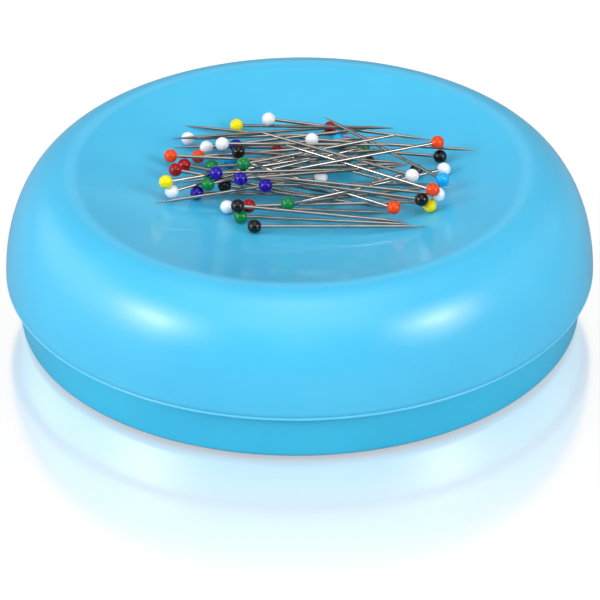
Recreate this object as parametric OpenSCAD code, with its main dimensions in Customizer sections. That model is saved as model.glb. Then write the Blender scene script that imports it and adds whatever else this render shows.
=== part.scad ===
/* [Bowl] */
// Diameter of the bowl at its widest, the cover's lower edge
bowl_d = 108; // [104:1:112]
// Height of the crest of the rim above the surface the bowl stands on
bowl_h = 29.7; // [29.4:0.1:30]
// Height of the seam between cover and base
seam_h = 9.7; // [9.3:0.1:10.1]
// Radius of the circle that the crest of the rim follows
crest_r = 42; // [41:0.5:43]
// Radius of the sphere that the dish is a cap of
dish_r = 140; // [135:1:145]
// Wall thickness of the moulded shells
wall = 2; // [1.6:0.1:2.2]

/* [Base] */
// How far the base's shoulder stands in from the cover's edge
base_inset = 1.4; // [1:0.1:1.6]
// How much narrower the base's wall is low down than at the seam, per side
base_taper = 1; // [0.6:0.1:1.6]
// How far the rubber feet stand out of the base
foot_proud = 0.5; // [0.3:0.1:0.8]
// Diameter of a rubber foot
foot_d = 9; // [8:0.2:9.4]
// Radius of the circle that the screws and feet sit on
screw_circle_r = 38; // [37.5:0.1:38.5]

/* [Magnet] */
// Outer diameter of the ring magnet
magnet_d = 60; // [56:1:60]
// Bore of the ring magnet
magnet_bore = 32; // [29:1:34]
// Thickness of the ring magnet
magnet_h = 8; // [6:0.5:9]
// Height of the magnet's upper face
magnet_top = 21.8; // [21.4:0.1:21.9]

/* [Pins] */
// Diameter of a pin's glass head
head_d = 2.5; // [2.3:0.1:2.5]
// Diameter of a pin's steel shaft
shaft_d = 0.6; // [0.5:0.05:0.6]
// Length of a pin from the centre of its head to its point
pin_len = 30.5; // [30:0.5:31]
// Length of the ground taper at the point
taper_len = 4; // [2:0.5:6]
// Length of one unit of the plan that the pins are laid out on
plan_unit = 1; // [0.98:0.01:1.02]

/* [Hidden] */
$fn = 64;

// The cover: an upright quarter ellipse outside, an arc over the crest and a sphere for the dish
bowl_r = bowl_d / 2;
rim_w = bowl_r - crest_r;
rim_h = bowl_h - seam_h;
crest_round = rim_w * rim_w / rim_h;
crest_round_z = bowl_h - crest_round;
dish_centre_z = crest_round_z + sqrt(pow(dish_r + crest_round, 2) - crest_r * crest_r);
dish_edge = asin(crest_r / (dish_r + crest_round));
edge_round = 0.5;

// The base, and the spigot that centres the cover on it
base_z = foot_proud;
base_r = bowl_r - base_inset;
base_round = 1.2;
fit_gap = 0.35;
spigot_r = bowl_r - wall - fit_gap;
spigot_h = 3;
rib_w = 2;

// Screws from below, through the base's towers into the cover's bosses, hidden by the feet
screw_angles = [45 : 90 : 315];
screw_d = 2.8;
screw_fit = 0.05;
screw_clearance = 0.2;
screw_head_d = 5.2;
screw_head_h = 1.9;
screw_end = 20;
screw_point = 2;
slot_l = 3;
slot_w = 0.8;
slot_depth = 1;
recess_depth = 1.5;
recess_top = base_z + recess_depth;
seat_depth = 2.5;
head_seat_z = recess_top + seat_depth;
tower_d = 10.8;
boss_d = 6.4;
boss_sink = 0.3;
boss_z = 12;
pilot_end = 21;
foot_edge = 0.4;

// The magnet's seats: a pedestal below, a ring rib above, a fence outside and a hub inside
magnet_z = magnet_top - magnet_h;
magnet_edge = 0.5;
fence_gap = 0.25;
fence_h = 4;
hub_h = 5;
pedestal_r = 23;
seat_r = pedestal_r - rib_w / 2;

// Points of an arc after its first, which ends the stretch before it
function arc(x, z, r, from, to, n) =
    [for (k = [1 : n]) let (a = from + (to - from) * k / n) [x + r * cos(a), z + r * sin(a)]];

// The same along the rim's quarter ellipse, or a line that runs inset from it
function rim_curve(inset, from, to, n) = [
    for (k = [1 : n]) let (a = from + (to - from) * k / n)
    [crest_r + (rim_w - inset) * cos(a), seam_h + (rim_h - inset) * sin(a)]
];

cover_outside = concat(
    [[bowl_r - edge_round, seam_h]],
    arc(bowl_r - edge_round, seam_h + edge_round, edge_round, -90, 0, 4),
    rim_curve(0, asin(edge_round / rim_h), 90, 24),
    arc(crest_r, crest_round_z, crest_round, 90, 90 + dish_edge, 4),
    arc(0, dish_centre_z, dish_r, 270 + dish_edge, 270, 16)
);
cover_inside = concat(
    [[0, dish_centre_z - dish_r - wall]],
    arc(0, dish_centre_z, dish_r + wall, 270, 270 + dish_edge, 16),
    arc(crest_r, crest_round_z, crest_round - wall, 90 + dish_edge, 90, 4),
    rim_curve(wall, 90, 0, 18)
);
base_foot_r = base_r - base_taper - base_round;
base_section = concat(
    [[0, base_z], [base_foot_r, base_z]],
    arc(base_foot_r, base_z + base_round, base_round, -90, 0, 6),
    [
        [base_r, seam_h], [spigot_r, seam_h],
        [spigot_r, seam_h + spigot_h], [spigot_r - wall, seam_h + spigot_h],
        [spigot_r - wall, base_z + wall], [0, base_z + wall],
    ]
);

// Pins: a head's colour, where its centre is in units of the plan, and the way the point lies, from
// the first pin laid in the dish to the last. Heights and tilts follow from what each pin lies on.
PINS = [
    ["purple", -18.5, -2.5, 2],
    ["black", 8.5, 10, 194],
    ["orange", 9, 16, 170],
    ["red", -21, 7, -18],
    ["green", 12, 14, 178],
    ["red", -4, 12.5, -28],
    ["light_blue", 7.5, 14, 180],
    ["green", -16, 7.5, 3],
    ["white", -20.5, 16, 4],
    ["white", -17, 12.5, 6],
    ["black", 26, 7.5, 170],
    ["black", -13.5, -1, -11],
    ["white", -13, -7, -4],
    ["black", 13, 7, 192],
    ["red", -22.5, 2.5, -12],
    ["black", 21.5, 4, 207],
    ["yellow", 23.5, -10, 158],
    ["green", -10.5, -10.5, -8],
    ["red", 6, 21, 196],
    ["red", -9, -8.5, -2],
    ["light_blue", -12.5, 10, -2],
    ["orange", -10, 5, -1],
    ["orange", -18.5, 9.5, 2],
    ["orange", -23.5, 8, -4],
    ["green", -16.5, -3, 24],
    ["purple", -11.5, 11, 5],
    ["black", -11, -11, -5],
    ["white", -23, -4.5, 27],
    ["yellow", -11.5, 21.5, -16],
    ["white", -5.5, 19.5, -8],
    ["white", 4, -1, 191],
    ["yellow", -24, -5, 24],
    ["green", -2, -10, 13],
    ["purple", -6, -4.5, 8],
    ["orange", 17, -12, 151],
    ["purple", -15, -2.5, 4],
    ["purple", -10.5, -4, 7],
    ["white", 26.5, 3, 211],
    ["black", 22, -11, 169],
    ["black", -11, 7, -14],
    ["white", 25, -9.5, 174],
    ["white", 2.5, 11, -7],
    ["light_blue", 26, -4, 134],
    ["white", -14, 8.5, -3],
    ["green", -10, -1, 21],
    ["white", 20.5, -4, 156],
    ["black", -8, -14.5, -4],
    ["orange", 24, -11, 149],
    ["orange", 25.5, 7.5, 208],
];

head_r = head_d / 2;
shaft_r = shaft_d / 2;
point_r = 0.06;
socket = 0.7;
pin_gap = 0.05;
balance_t = 0.4 * pin_len;
near_parallel = sin(12);
passes = 3;

function cross2(a, b) = a.x * b.y - a.y * b.x;
function reach(m) = pin_len / sqrt(1 + m * m);
function clamp(t, top) = min(max(t, 0), top);
function over(gap, d) = sqrt(gap * gap - d * d);
function plan(i) = [PINS[i][1], PINS[i][2]] * plan_unit;
function along(i) = [cos(PINS[i][3]), sin(PINS[i][3])];

// Lowest height of a ball of radius r over the dish, at distance d from the bowl's axis
function on_dish(r, d) = dish_centre_z - over(dish_r - r - pin_gap, d);

// Where pin i, sloping by m, passes over pin j that rests as line: a list of
// [distance along pin i, lowest height there]
function contacts(i, j, m, line) =
    let (
        a = plan(i), b = plan(j), u = along(i), v = along(j),
        zj = line[0], mj = line[1], li = reach(m), lj = reach(mj),
        tilt_i = sqrt(1 + m * m), tilt_j = sqrt(1 + mj * mj),
        s = cross2(u, v), c = u * v,
        ti = abs(s) > 0.01 ? cross2(b - a, v) / s : -1,
        tj = abs(s) > 0.01 ? cross2(b - a, u) / s : -1,
        hh = 2 * head_r + pin_gap, hs = head_r + shaft_r + pin_gap, ss = 2 * shaft_r + pin_gap,
        a_on_j = clamp((a - b) * v, lj), b_on_i = clamp((b - a) * u, li),
        step = abs(s) < near_parallel ? 1 : li
    )
    [
        if (norm(a - b) < hh) [0, zj + over(hh, norm(a - b))],
        if (norm(b + v * a_on_j - a) < hs)
            [0, zj + mj * a_on_j + tilt_j * over(hs, norm(b + v * a_on_j - a))],
        if (norm(a + u * b_on_i - b) < hs)
            [b_on_i, zj + tilt_i * over(hs, norm(a + u * b_on_i - b))],
        if (ti > 0 && ti < li && tj > 0 && tj < lj)
            [ti, zj + mj * tj + ss * sqrt(1 + (m * m + mj * mj - 2 * m * mj * c) / (s * s))],
        for (t = [0 : step : li])
            let (q = a + u * t, k = clamp((q - b) * v, lj), d = norm(b + v * k - q))
            if (d < ss) [t, zj + mj * k + tilt_j * over(ss, d)],
        let (q = a + u * li, k = clamp((q - b) * v, lj), d = norm(b + v * k - q))
            if (d < ss) [li, zj + mj * k + tilt_j * over(ss, d)],
        let (q = b + v * lj, t = clamp((q - a) * u, li), d = norm(a + u * t - q))
            if (d < ss) [t, zj + mj * lj + tilt_i * over(ss, d)],
    ];

// The line that rests on a list of contacts, two of which carry it on either side of its
// balance point: [height at the head, slope]
function rest_line(cs) =
    let (
        pairs = [
            for (p = cs) if (p[0] <= balance_t)
                for (q = cs) if (q[0] > balance_t)
                    let (m = (q[1] - p[1]) / (q[0] - p[0]))
                    [p[1] - m * p[0], m, p[1] + m * (balance_t - p[0])]
        ],
        highest = max([for (p = pairs) p[2]])
    )
    [for (p = pairs) if (p[2] == highest) [p[0], p[1]]][0];

// Pin i laid on the dish and on the pins before it
function settle(i, done, m, pass) =
    let (
        tip = plan(i) + along(i) * reach(m),
        cs = concat(
            [[0, on_dish(head_r, norm(plan(i)))], [reach(m), on_dish(shaft_r, norm(tip))]],
            [for (j = [0 : 1 : i - 1]) each contacts(i, j, m, done[j])]
        ),
        line = rest_line(cs)
    )
    pass == 1 ? line : settle(i, done, line[1], pass - 1);

function lay(i, done) = i == len(PINS) ? done : lay(i + 1, concat(done, [settle(i, done, 0, passes)]));

LIE = lay(0, []);

// The last pins lie free on the heap, and each of them lifts off alone
top_count = 3;
first_top = len(PINS) - top_count;
COLOURS = ["white", "yellow", "orange", "red", "green", "purple", "light_blue", "black"];
COLOUR_CODES = ["#f4f4f2", "#f6e60a", "#f04a12", "#a8041c", "#078546", "#3a12a8", "#1a9bf0", "#121214"];
function code(name) = COLOUR_CODES[search([name], COLOURS)[0]];
function top_name(i) = str("top_pin_", i - first_top + 1);

module cover() {
    color("#54c8f0") {
        rotate_extrude() polygon(concat(cover_outside, cover_inside));
        dish_rib(magnet_d / 2 + fence_gap, magnet_top - fence_h);
        dish_rib(seat_r, magnet_top);
        dish_rib(magnet_bore / 2 - fence_gap - rib_w, magnet_top - hub_h);
        for (a = screw_angles) rotate(a) translate([screw_circle_r, 0]) boss();
    }
}

// A round rib that hangs from the dish, rib_w thick, with its lower edge at z
module dish_rib(r, z) {
    top = dish_centre_z - sqrt(pow(dish_r + wall / 2, 2) - pow(r + rib_w / 2, 2));
    translate([0, 0, z]) difference() {
        cylinder(h = top - z, r = r + rib_w);
        translate([0, 0, -1]) cylinder(h = top - z + 2, r = r);
    }
}

// A post that hangs from the dish and takes a screw
module boss() {
    top = dish_centre_z - sqrt(pow(dish_r + wall / 2, 2) - pow(screw_circle_r, 2)) - boss_sink;
    translate([0, 0, boss_z]) difference() {
        cylinder(h = top - boss_z, d = boss_d);
        translate([0, 0, -1]) cylinder(h = pilot_end - boss_z + 1, d = screw_d + 2 * screw_fit);
    }
}

module base() {
    color("#39b7e0") difference() {
        union() {
            rotate_extrude() polygon(base_section);
            translate([0, 0, base_z + wall / 2]) difference() {
                cylinder(h = magnet_z - base_z - wall / 2, r = pedestal_r + rib_w / 2);
                translate([0, 0, -1]) cylinder(h = magnet_z, r = pedestal_r - rib_w / 2);
            }
            for (a = screw_angles) rotate(a) translate([screw_circle_r, 0, base_z])
                cylinder(h = boss_z - base_z, d = tower_d);
        }
        for (a = screw_angles) rotate(a) translate([screw_circle_r, 0, 0]) {
            cylinder(h = recess_top, d = foot_d + 2 * screw_fit);
            cylinder(h = head_seat_z, d = screw_head_d + 2 * screw_clearance);
            cylinder(h = boss_z + 1, d = screw_d + 2 * screw_clearance);
        }
    }
}

module ring_magnet() {
    color("#3b3b3e") rotate_extrude() polygon([
        [magnet_bore / 2, magnet_z + magnet_edge], [magnet_bore / 2 + magnet_edge, magnet_z],
        [magnet_d / 2 - magnet_edge, magnet_z], [magnet_d / 2, magnet_z + magnet_edge],
        [magnet_d / 2, magnet_top - magnet_edge], [magnet_d / 2 - magnet_edge, magnet_top],
        [magnet_bore / 2 + magnet_edge, magnet_top], [magnet_bore / 2, magnet_top - magnet_edge],
    ]);
}

module case_screws() {
    color("#b9bcc0") for (a = screw_angles) rotate(a) translate([screw_circle_r, 0, 0]) {
        difference() {
            translate([0, 0, head_seat_z - screw_head_h]) cylinder(h = screw_head_h, d = screw_head_d);
            for (b = [0, 90]) rotate(b)
                translate([-slot_l / 2, -slot_w / 2, head_seat_z - screw_head_h - 1])
                    cube([slot_l, slot_w, 1 + slot_depth]);
        }
        translate([0, 0, head_seat_z]) cylinder(h = screw_end - screw_point - head_seat_z, d = screw_d);
        translate([0, 0, screw_end - screw_point])
            cylinder(h = screw_point, d1 = screw_d, d2 = screw_d / 4);
    }
}

module rubber_feet() {
    color("#2b2b2d") for (a = screw_angles) rotate(a) translate([screw_circle_r, 0, 0])
        rotate_extrude() polygon([
            [0, 0], [foot_d / 2 - foot_edge, 0], [foot_d / 2, foot_edge],
            [foot_d / 2, recess_top], [0, recess_top],
        ]);
}

// Stands a pin's own axis, head at the origin and point upwards, where pin i rests
module at_rest(i) {
    translate([plan(i).x, plan(i).y, LIE[i][0]])
        rotate([0, 90 - atan(LIE[i][1]), PINS[i][3]]) children();
}

module pin_head(i) {
    color(code(PINS[i][0])) at_rest(i) difference() {
        sphere(head_r);
        translate([0, 0, -socket]) cylinder(h = socket + head_d, r = shaft_r);
    }
}

module pin_shaft(i) {
    color("#a9a49c") at_rest(i) {
        translate([0, 0, -socket]) cylinder(h = pin_len - taper_len + socket, r = shaft_r);
        translate([0, 0, pin_len - taper_len]) cylinder(h = taper_len, r1 = shaft_r, r2 = point_r);
    }
}

module heap_heads(colour) {
    for (i = [0 : first_top - 1]) if (PINS[i][0] == colour) pin_head(i);
}

module heap_shafts(colour) {
    for (i = [0 : first_top - 1]) if (PINS[i][0] == colour) pin_shaft(i);
}

cover();
base();
ring_magnet();
case_screws();
rubber_feet();
for (c = COLOURS) heap_heads(c);
for (c = COLOURS) heap_shafts(c);
for (i = [first_top : len(PINS) - 1]) pin_head(i);
for (i = [first_top : len(PINS) - 1]) pin_shaft(i);
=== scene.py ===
"""Magnetic pin bowl: a glossy moulded plastic bowl with a heap of ball-headed pins in its dish."""

import math

import bpy
import numpy as np
from mathutils import Matrix, Vector


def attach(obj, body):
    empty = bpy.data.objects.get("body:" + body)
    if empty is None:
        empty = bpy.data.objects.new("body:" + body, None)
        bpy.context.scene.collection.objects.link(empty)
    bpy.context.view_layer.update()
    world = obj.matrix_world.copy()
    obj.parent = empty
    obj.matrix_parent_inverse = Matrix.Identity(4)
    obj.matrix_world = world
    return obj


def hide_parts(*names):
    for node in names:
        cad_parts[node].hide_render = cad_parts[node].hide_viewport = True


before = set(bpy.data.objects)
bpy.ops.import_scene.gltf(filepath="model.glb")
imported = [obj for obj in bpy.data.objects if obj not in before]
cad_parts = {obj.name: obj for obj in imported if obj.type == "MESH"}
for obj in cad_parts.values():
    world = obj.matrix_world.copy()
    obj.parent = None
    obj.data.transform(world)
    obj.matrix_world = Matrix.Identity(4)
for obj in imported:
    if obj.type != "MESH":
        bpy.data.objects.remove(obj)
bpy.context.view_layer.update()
MM = 0.001


# The camera

def place_camera():
    """The viewpoint of the photograph: 700 mm away, 31 degrees above the horizon, with a long lens."""
    distance, elevation, roll = 0.700, 0.5416, -0.010
    aim = Vector((0, 0, 0.0005))
    back = Vector((0, -math.cos(elevation), math.sin(elevation)))
    right, up = Vector((1, 0, 0)), Vector((0, math.sin(elevation), math.cos(elevation)))
    across = right * math.cos(roll) + up * math.sin(roll)
    upward = up * math.cos(roll) - right * math.sin(roll)
    camera = bpy.data.objects.new("camera", bpy.data.cameras.new("camera"))
    bpy.context.scene.collection.objects.link(camera)
    camera.matrix_world = Matrix.Translation(aim + back * distance) @ Matrix(
        (across, upward, back)).transposed().to_4x4()
    camera.data.sensor_width = 36
    camera.data.lens = 226.1
    camera.data.shift_y = 0.0094
    camera.data.clip_start = 0.01
    bpy.context.scene.camera = camera


place_camera()


# The materials

def paint(code):
    """An sRGB hex colour as linear RGBA."""
    c = np.array([int(code[i:i + 2], 16) for i in (1, 3, 5)]) / 255
    return (*np.where(c <= 0.04045, c / 12.92, ((c + 0.055) / 1.055) ** 2.4), 1.0)


def add(tree, kind, settings=None, **sockets):
    """Adds a node, sets its settings, and sets or links its input sockets. A socket goes by its name in
    words, or by s and its number."""
    made = tree.nodes.new(kind)
    for name, value in (settings or {}).items():
        setattr(made, name, value)
    for name, value in sockets.items():
        known = name[0] == "s" and name[1:].isdigit()
        socket = made.inputs[int(name[1:]) if known else name.replace("_", " ")]
        if isinstance(value, bpy.types.NodeSocket):
            tree.links.new(value, socket)
        else:
            socket.default_value = value
    return made


def material(name):
    """A new node material with its shader and its place in millimetres."""
    made = bpy.data.materials.new(name)
    made.use_nodes = True
    tree = made.node_tree
    tree.nodes.clear()
    shader = add(tree, "ShaderNodeBsdfPrincipled")
    output = add(tree, "ShaderNodeOutputMaterial")
    tree.links.new(shader.outputs["BSDF"], output.inputs["Surface"])
    where = add(tree, "ShaderNodeTexCoord").outputs["Object"]
    place = add(tree, "ShaderNodeMapping", Vector=where, Scale=(1000, 1000, 1000)).outputs["Vector"]
    return made, tree, shader, place


def mottle(tree, shader, shades, shade_at, rough, rough_at):
    """The colour drifts between two shades, and the roughness between two values. Each follows a noise of
    its own, given as a place and the size of its lumps in millimetres. Gives the colour back."""
    lumps = [add(tree, "ShaderNodeTexNoise", Vector=place, Scale=1 / size).outputs["Fac"]
             for place, size in (shade_at, rough_at)]
    share = add(tree, "ShaderNodeMapRange", Value=lumps[0], From_Min=0.3, From_Max=0.7).outputs["Result"]
    colour = add(tree, "ShaderNodeMix", {"data_type": "RGBA"}, s0=share, s6=paint(shades[0]),
                 s7=paint(shades[1])).outputs[2]
    gloss = add(tree, "ShaderNodeMapRange", Value=lumps[1], From_Min=0.3, From_Max=0.7,
                To_Min=rough[0], To_Max=rough[1]).outputs["Result"]
    tree.links.new(colour, shader.inputs["Base Color"])
    tree.links.new(gloss, shader.inputs["Roughness"])
    return colour


def gloss_plastic(name, *shades, bead=None):
    """Injection-moulded ABS, pigmented through: even colour, light that spreads just under the skin round
    each highlight, a polished skin that mirrors sharply, and the faint waviness of a moulding that has
    shrunk. Given a bead (its base height and a paler colour), the colour turns paler on the bead just above
    that height: a painted highlight for the thin light line along the lower edge."""
    made, tree, shader, place = material(name)
    colour = mottle(tree, shader, shades, (place, 14), (0.31, 0.35), (place, 5))
    # Painted highlight: the colour turns paler on the bead at the lower edge, standing in for the light line
    # it catches.
    if bead:
        base, pale = bead
        height = add(tree, "ShaderNodeSeparateXYZ", Vector=place).outputs["Z"]
        near = add(tree, "ShaderNodeMapRange", Value=height, From_Min=base + 0.5, From_Max=base + 0.3)
        colour = add(tree, "ShaderNodeMix", {"data_type": "RGBA"}, s0=near.outputs["Result"], s6=colour,
                     s7=paint(pale)).outputs[2]
        tree.links.new(colour, shader.inputs["Base Color"])
    shader.inputs["IOR"].default_value = 1.5
    shader.inputs["Specular IOR Level"].default_value = 0.46
    shader.inputs["Specular Tint"].default_value = (1.0, 0.68, 0.5, 1.0)
    shader.inputs["Coat Weight"].default_value = 0.4
    shader.inputs["Coat Roughness"].default_value = 0.05
    swell = add(tree, "ShaderNodeTexNoise", Vector=place, Scale=1 / 9.0, Detail=0.0).outputs["Fac"]
    wave = add(tree, "ShaderNodeBump", Height=swell, Strength=0.06, Distance=0.00005)
    tree.links.new(wave.outputs["Normal"], shader.inputs["Normal"])
    return made


def glass_bead(name, *shades):
    """Opaque coloured glass, melted onto the pin: wet gloss, with slow streaks where the glass ran."""
    made, tree, shader, place = material(name)
    streaks = add(tree, "ShaderNodeMapping", Vector=place, Scale=(1, 1, 3)).outputs["Vector"]
    mottle(tree, shader, shades, (streaks, 1.2), (0.02, 0.05), (place, 0.8))
    shader.inputs["IOR"].default_value = 1.5
    shader.inputs["Specular IOR Level"].default_value = 0.4
    return made


def metal(name, *shades, rough, grain_mm):
    """Plated steel: bright metal whose plating varies a little along its length."""
    made, tree, shader, place = material(name)
    mottle(tree, shader, shades, (place, grain_mm), rough, (place, grain_mm / 3))
    shader.inputs["Metallic"].default_value = 1.0
    return made


def dull(name, *shades, rough, grain_mm):
    """A dull pressed or sintered finish with fine grain."""
    made, tree, shader, place = material(name)
    mottle(tree, shader, shades, (place, grain_mm), rough, (place, grain_mm))
    grain = add(tree, "ShaderNodeTexNoise", Vector=place, Scale=1 / grain_mm).outputs["Fac"]
    bump = add(tree, "ShaderNodeBump", Height=grain, Strength=0.2, Distance=0.00002)
    tree.links.new(bump.outputs["Normal"], shader.inputs["Normal"])
    return made


LOOKS = {
    # The cover's paler colour on the bead above the seam is a painted highlight for a thin light line.
    "cover_plastic": gloss_plastic("abs_polished_sky_blue", "#42BCE9", "#48C0EB", bead=(9.7, "#66CBF1")),
    # The base is the cover's plastic made darker: painted shade for the band that faces sideways and gets
    # less light.
    "base_plastic": gloss_plastic("abs_sky_blue_painted_shade", "#26B9E4", "#2EBEE7"),
    "ferrite": dull("ferrite_sintered_grey", "#2E2E31", "#3C3C40", rough=(0.55, 0.75), grain_mm=0.5),
    "screw_steel": metal("steel_zinc_plated", "#A9ADB2", "#BFC3C7", rough=(0.25, 0.38), grain_mm=1.5),
    "rubber": dull("rubber_moulded_black", "#202022", "#2A2A2C", rough=(0.7, 0.85), grain_mm=0.6),
    "pin_steel": metal("steel_nickel_plated", "#94918C", "#A8A4A0", rough=(0.10, 0.18), grain_mm=4.0),
    "white_glass": glass_bead("glass_opal_white", "#EEF2F7", "#E4E9F1"),
    "yellow_glass": glass_bead("glass_opaque_yellow", "#F4E602", "#EEDC00"),
    "orange_glass": glass_bead("glass_opaque_orange", "#EC4A04", "#DE3E02"),
    "red_glass": glass_bead("glass_opaque_red", "#A4000A", "#8C0006"),
    "green_glass": glass_bead("glass_opaque_green", "#00843F", "#007438"),
    "purple_glass": glass_bead("glass_opaque_violet", "#2400A0", "#1C0090"),
    "light_blue_glass": glass_bead("glass_opaque_azure", "#06B0F4", "#00A0EA"),
    "black_glass": glass_bead("glass_opaque_black", "#050506", "#0A0A0C"),
}


# The pieces

def piece(name, points, faces, look, crease=35):
    """A mesh object from arrays, shaded smooth except over edges sharper than crease degrees."""
    mesh = bpy.data.meshes.new(name)
    mesh.from_pydata(points * MM, [], faces)
    mesh.shade_smooth()
    mesh.set_sharp_from_angle(angle=math.radians(crease))
    mesh.materials.append(look)
    made = bpy.data.objects.new(name, mesh)
    bpy.context.scene.collection.objects.link(made)
    return made


def turned(profile, steps, centre=(0, 0)):
    """A profile of (radius, height) rows from the axis back to the axis, carried round the axis.
    Point (i, j) is row i at angle 2 pi j / steps. The first and last rows are single points."""
    r, z = profile[1:-1, 0], profile[1:-1, 1]
    angle = 2 * np.pi * np.arange(steps) / steps
    x = centre[0] + r[:, None] * np.cos(angle)
    y = centre[1] + r[:, None] * np.sin(angle)
    rings = np.stack([x, y, np.broadcast_to(z[:, None], x.shape)], -1).reshape(-1, 3)
    ends = np.array([[*centre, profile[0, 1]], [*centre, profile[-1, 1]]])
    points = np.concatenate([rings, ends])
    i, j = np.meshgrid(np.arange(len(r) - 1), np.arange(steps), indexing="ij")
    k = (j + 1) % steps
    here, below = i * steps, (i + 1) * steps
    quads = np.stack([here + j, below + j, below + k, here + k], -1).reshape(-1, 4)
    j = np.arange(steps)
    k = (j + 1) % steps
    top = np.stack([np.full(steps, len(rings)), j, k], -1)
    low = (len(r) - 1) * steps
    bottom = np.stack([np.full(steps, len(rings) + 1), low + k, low + j], -1)
    return points, quads.tolist() + top.tolist() + bottom.tolist()


def arc(x, z, r, start, end, n):
    """n + 1 points of a circular arc, angles in degrees."""
    a = np.radians(np.linspace(start, end, n + 1))
    return np.stack([x + r * np.cos(a), z + r * np.sin(a)], -1)


def cover_profile():
    """The cover's section: dish sphere, crest arc and quarter ellipse outside, and the same lines one wall
    further in, with the three ribs that seat and fence the magnet. A groove just above the seam leaves a
    fine round bead along the lower edge. Millimetres."""
    crest_r, bowl_r, bowl_h, seam, dish_r, wall = 42, 54, 29.7, 9.7, 140, 2
    bead, groove = 0.25, 0.16
    rim_w, rim_h = bowl_r - crest_r, bowl_h - seam
    crest = rim_w ** 2 / rim_h
    crest_z = bowl_h - crest
    dish_z = crest_z + math.sqrt((dish_r + crest) ** 2 - crest_r ** 2)
    edge = math.degrees(math.asin(crest_r / (dish_r + crest)))

    def rim(inset, start, end, n):
        a = np.radians(np.linspace(start, end, n + 1))
        return np.stack([crest_r + (rim_w - inset) * np.cos(a), seam + (rim_h - inset) * np.sin(a)], -1)

    def under(r):
        return dish_z - np.sqrt((dish_r + wall) ** 2 - r ** 2)

    outside = np.concatenate([
        arc(0, dish_z, dish_r, 270, 270 + edge, 48),
        arc(crest_r, crest_z, crest, 90 + edge, 90, 10)[1:],
        rim(0, 90, 2.6, 64)[1:],
        np.array([[bowl_r - groove / 2, seam + 0.78], [bowl_r - groove, seam + 0.66],
                  [bowl_r - groove, seam + 0.58]]),
        arc(bowl_r - bead, seam + bead, bead, 70, -90, 8),
    ])
    inside = np.concatenate([
        rim(wall, 0, 90, 30),
        arc(crest_r, crest_z, crest - wall, 90, 90 + edge, 4)[1:],
        arc(0, dish_z, dish_r + wall, 270 + edge, 270, 40)[1:],
    ])
    ribs = [(30.25, 32.25, 17.8), (22, 24, 21.8), (13.75, 15.75, 16.8)]  # inner radius, outer, lower edge
    rows = [outside]
    rest = inside
    for near, far, level in ribs:
        beyond = rest[rest[:, 0] > far + 0.2]
        rows += [beyond, np.array([[far, under(far)], [far, level], [near, level], [near, under(near)]])]
        rest = rest[rest[:, 0] < near - 0.2]
    rows.append(rest)
    return np.concatenate(rows)


def build_cover():
    """The moulded cover, with the four bosses that its screws bite into."""
    screw_circle_r, boss_r, hole_r, boss_z, hole_end, boss_top = 38, 3.2, 1.45, 12, 21.0, 26.7
    boss = np.array([[0, boss_top], [boss_r, boss_top], [boss_r, boss_z], [hole_r, boss_z],
                     [hole_r, hole_end], [0, hole_end]])
    points, faces = turned(cover_profile(), 240)
    parts, shift = [points], len(points)
    for a in np.radians([45, 135, 225, 315]):
        p, f = turned(boss, 32, (screw_circle_r * math.cos(a), screw_circle_r * math.sin(a)))
        faces += [[v + shift for v in face] for face in f]
        parts.append(p)
        shift += len(p)
    return piece("cover_shell", np.concatenate(parts), faces, LOOKS["cover_plastic"])


cover = build_cover()
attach(cover, "bowl")
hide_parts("cover")


def dress(node, crease):
    """A CAD node keeps its shape: its loose triangles are joined, shaded smooth up to crease degrees, and
    get the material of their slot."""
    slot = node.material_slots[0].material.name.split(".")[0]
    node.data.shade_smooth()
    weld = node.modifiers.new("join", "WELD")
    weld.merge_threshold = 1e-6
    split = node.modifiers.new("creases", "EDGE_SPLIT")
    split.split_angle = math.radians(crease)
    for held in node.material_slots:
        held.material = LOOKS[slot]


for name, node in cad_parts.items():
    if name != "cover":
        dress(node, 50 if "shaft" in name else 35)


# The studio

WHITE = (1, 1, 1, 1)
SOFTBOX = [(0.95, 0.85, 0.9), (0.74, 0.64, 1.5), (0.55, 0.46, 2.2), (0.38, 0.31, 3.6), (0.22, 0.17, 5.8)]
PANEL_LEFT = [(2.8, 1.3, 0.35), (2.2, 0.95, 0.45), (1.5, 0.6, 0.5)]
PANEL_RIGHT = [(2.8, 1.3, 0.08), (2.2, 0.95, 0.12), (1.5, 0.6, 0.2)]
PANEL_FRONT = [(1.6, 1.0, 0.45), (1.1, 0.7, 0.55)]
PANEL_ABOVE = [(2.6, 2.4, 0.12), (2.0, 1.8, 0.2), (1.5, 1.35, 0.3), (1.1, 0.95, 0.4), (0.7, 0.6, 0.7),
               (0.4, 0.3, 0.8)]


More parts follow.
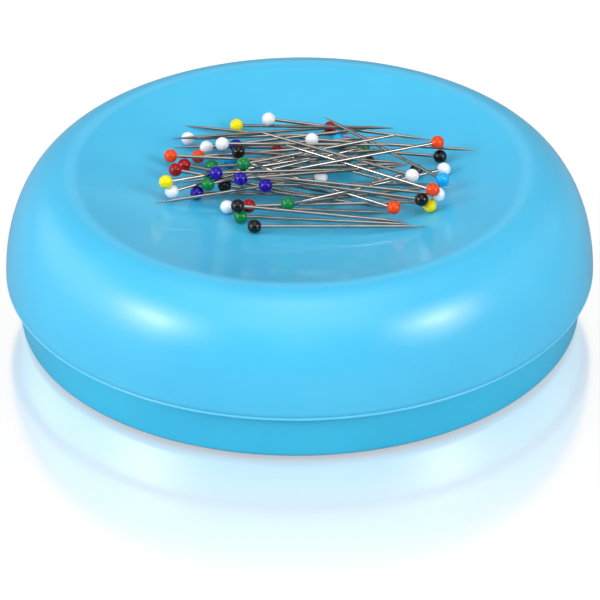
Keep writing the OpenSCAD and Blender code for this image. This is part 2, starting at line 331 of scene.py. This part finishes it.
def hang_surround():
    """White to the camera. What the object mirrors is dimmer: a plain room, a little lighter behind, with a
    pale sheet far off behind and another in front, which the floor mirrors."""
    world = bpy.data.worlds.new("studio_surround")
    bpy.context.scene.world = world
    world.use_nodes = True
    tree = world.node_tree
    tree.nodes.clear()
    path = add(tree, "ShaderNodeLightPath").outputs
    mirrored = add(tree, "ShaderNodeMath", {"operation": "MAXIMUM"}, s0=path["Is Glossy Ray"],
                   s1=path["Is Transmission Ray"]).outputs[0]
    toward = add(tree, "ShaderNodeSeparateXYZ",
                 Vector=add(tree, "ShaderNodeTexCoord").outputs["Generated"]).outputs
    room = add(tree, "ShaderNodeMapRange", Value=toward["Y"], From_Min=-0.2, From_Max=0.5,
               To_Min=0.16, To_Max=0.30).outputs["Result"]
    across = add(tree, "ShaderNodeMath", {"operation": "ABSOLUTE"}, s0=toward["X"]).outputs[0]
    along = add(tree, "ShaderNodeMath", {"operation": "ABSOLUTE"}, s0=toward["Y"]).outputs[0]
    narrow = add(tree, "ShaderNodeMath", {"operation": "SUBTRACT"}, s0=along, s1=across).outputs[0]
    soft = {"interpolation_type": "SMOOTHSTEP"}
    upright = add(tree, "ShaderNodeMapRange", soft, Value=narrow, From_Min=0.70, From_Max=0.76)
    level = add(tree, "ShaderNodeMapRange", soft, Value=toward["Z"], From_Min=0.28, From_Max=0.42)
    sheet = add(tree, "ShaderNodeMath", {"operation": "MULTIPLY"}, s0=upright.outputs["Result"],
                s1=level.outputs["Result"]).outputs[0]
    seen = add(tree, "ShaderNodeMix", Factor=sheet, s2=room, s3=0.75).outputs[0]
    fill = add(tree, "ShaderNodeMix", Factor=mirrored, s2=0.24, s3=seen).outputs[0]
    strength = add(tree, "ShaderNodeMix", Factor=path["Is Camera Ray"], s2=fill, s3=1.0).outputs[0]
    glow = add(tree, "ShaderNodeBackground", Color=WHITE, Strength=strength)
    tree.links.new(glow.outputs[0], add(tree, "ShaderNodeOutputWorld").inputs["Surface"])


def softbox(name, azimuth, elevation, distance, layers):
    """One lamp head that faces the object, at an azimuth from the front. Its layers of (width, height,
    brightness) add up, so that it is brightest in the middle."""
    a, e = math.radians(azimuth), math.radians(elevation)
    back = Vector((math.sin(a) * math.cos(e), -math.cos(a) * math.cos(e), math.sin(e)))
    for k, (width, height, level) in enumerate(layers):
        lamp = bpy.data.lights.new(f"{name}_{k}", "AREA")
        lamp.shape, lamp.size, lamp.size_y = "ELLIPSE", width, height
        lamp.energy = math.pi * level * (math.pi / 4 * width * height)
        made = bpy.data.objects.new(lamp.name, lamp)
        made.matrix_world = (Matrix.Translation(back * (distance - 0.01 * k))
                             @ back.to_track_quat("Z", "Y").to_matrix().to_4x4())
        bpy.context.scene.collection.objects.link(made)


def lay_floor():
    """A white acrylic sheet. The camera sees it white, with a mirror image of the object that fades out with
    the distance from the axis. To other rays it is a plain pale surface, and from below it is clear."""
    mesh = bpy.data.meshes.new("floor")
    mesh.from_pydata([(-4, -4, 0), (4, -4, 0), (4, 4, 0), (-4, 4, 0)], [], [(0, 1, 2, 3)])
    floor = bpy.data.objects.new("floor", mesh)
    bpy.context.scene.collection.objects.link(floor)
    look = bpy.data.materials.new("acrylic_white_sheet")
    look.use_nodes = True
    tree = look.node_tree
    tree.nodes.clear()
    path = add(tree, "ShaderNodeLightPath").outputs
    plain = add(tree, "ShaderNodeBsdfDiffuse", Color=paint("#FAFAFB"))
    bounced = add(tree, "ShaderNodeMix", {"data_type": "RGBA"}, s0=path["Is Glossy Ray"],
                  s6=paint("#D6D7D9"), s7=paint("#9FA2A6")).outputs[2]
    bounce = add(tree, "ShaderNodeBsdfDiffuse", Color=bounced)
    lit = add(tree, "ShaderNodeEmission", Color=WHITE, Strength=1.08)
    pale = add(tree, "ShaderNodeMixShader", Fac=0.93, s1=plain.outputs[0], s2=lit.outputs[0])
    image = add(tree, "ShaderNodeBsdfGlossy", Color=WHITE, Roughness=0.16)
    haze = add(tree, "ShaderNodeEmission", Color=WHITE, Strength=0.25)
    mirror = add(tree, "ShaderNodeAddShader", s0=image.outputs[0], s1=haze.outputs[0])
    where = add(tree, "ShaderNodeTexCoord").outputs["Object"]
    reach = add(tree, "ShaderNodeVectorMath", {"operation": "LENGTH"}, s0=where).outputs["Value"]
    fade = add(tree, "ShaderNodeMapRange", Value=reach, From_Min=0.052, From_Max=0.103,
               To_Min=0.66, To_Max=0.0).outputs["Result"]
    shown = add(tree, "ShaderNodeMixShader", Fac=fade, s1=pale.outputs[0], s2=mirror.outputs[0])
    above = add(tree, "ShaderNodeMixShader", Fac=path["Is Camera Ray"], s1=bounce.outputs[0],
                s2=shown.outputs[0])
    below = add(tree, "ShaderNodeBsdfTransparent")
    both = add(tree, "ShaderNodeMixShader", Fac=add(tree, "ShaderNodeNewGeometry").outputs["Backfacing"],
               s1=above.outputs[0], s2=below.outputs[0])
    tree.links.new(both.outputs[0], add(tree, "ShaderNodeOutputMaterial").inputs["Surface"])
    mesh.materials.append(look)


bpy.context.scene.view_settings.view_transform = "Standard"
hang_surround()
softbox("softbox_left", -60, 27, 1.2, SOFTBOX)
softbox("softbox_right", 56, 27, 1.2, SOFTBOX)
softbox("panel_left", -95, 22, 1.4, PANEL_LEFT)
softbox("panel_right", 95, 22, 1.4, PANEL_RIGHT)
softbox("panel_front", 0, 52, 1.4, PANEL_FRONT)
softbox("panel_above", 0, 82, 1.4, PANEL_ABOVE)
lay_floor()
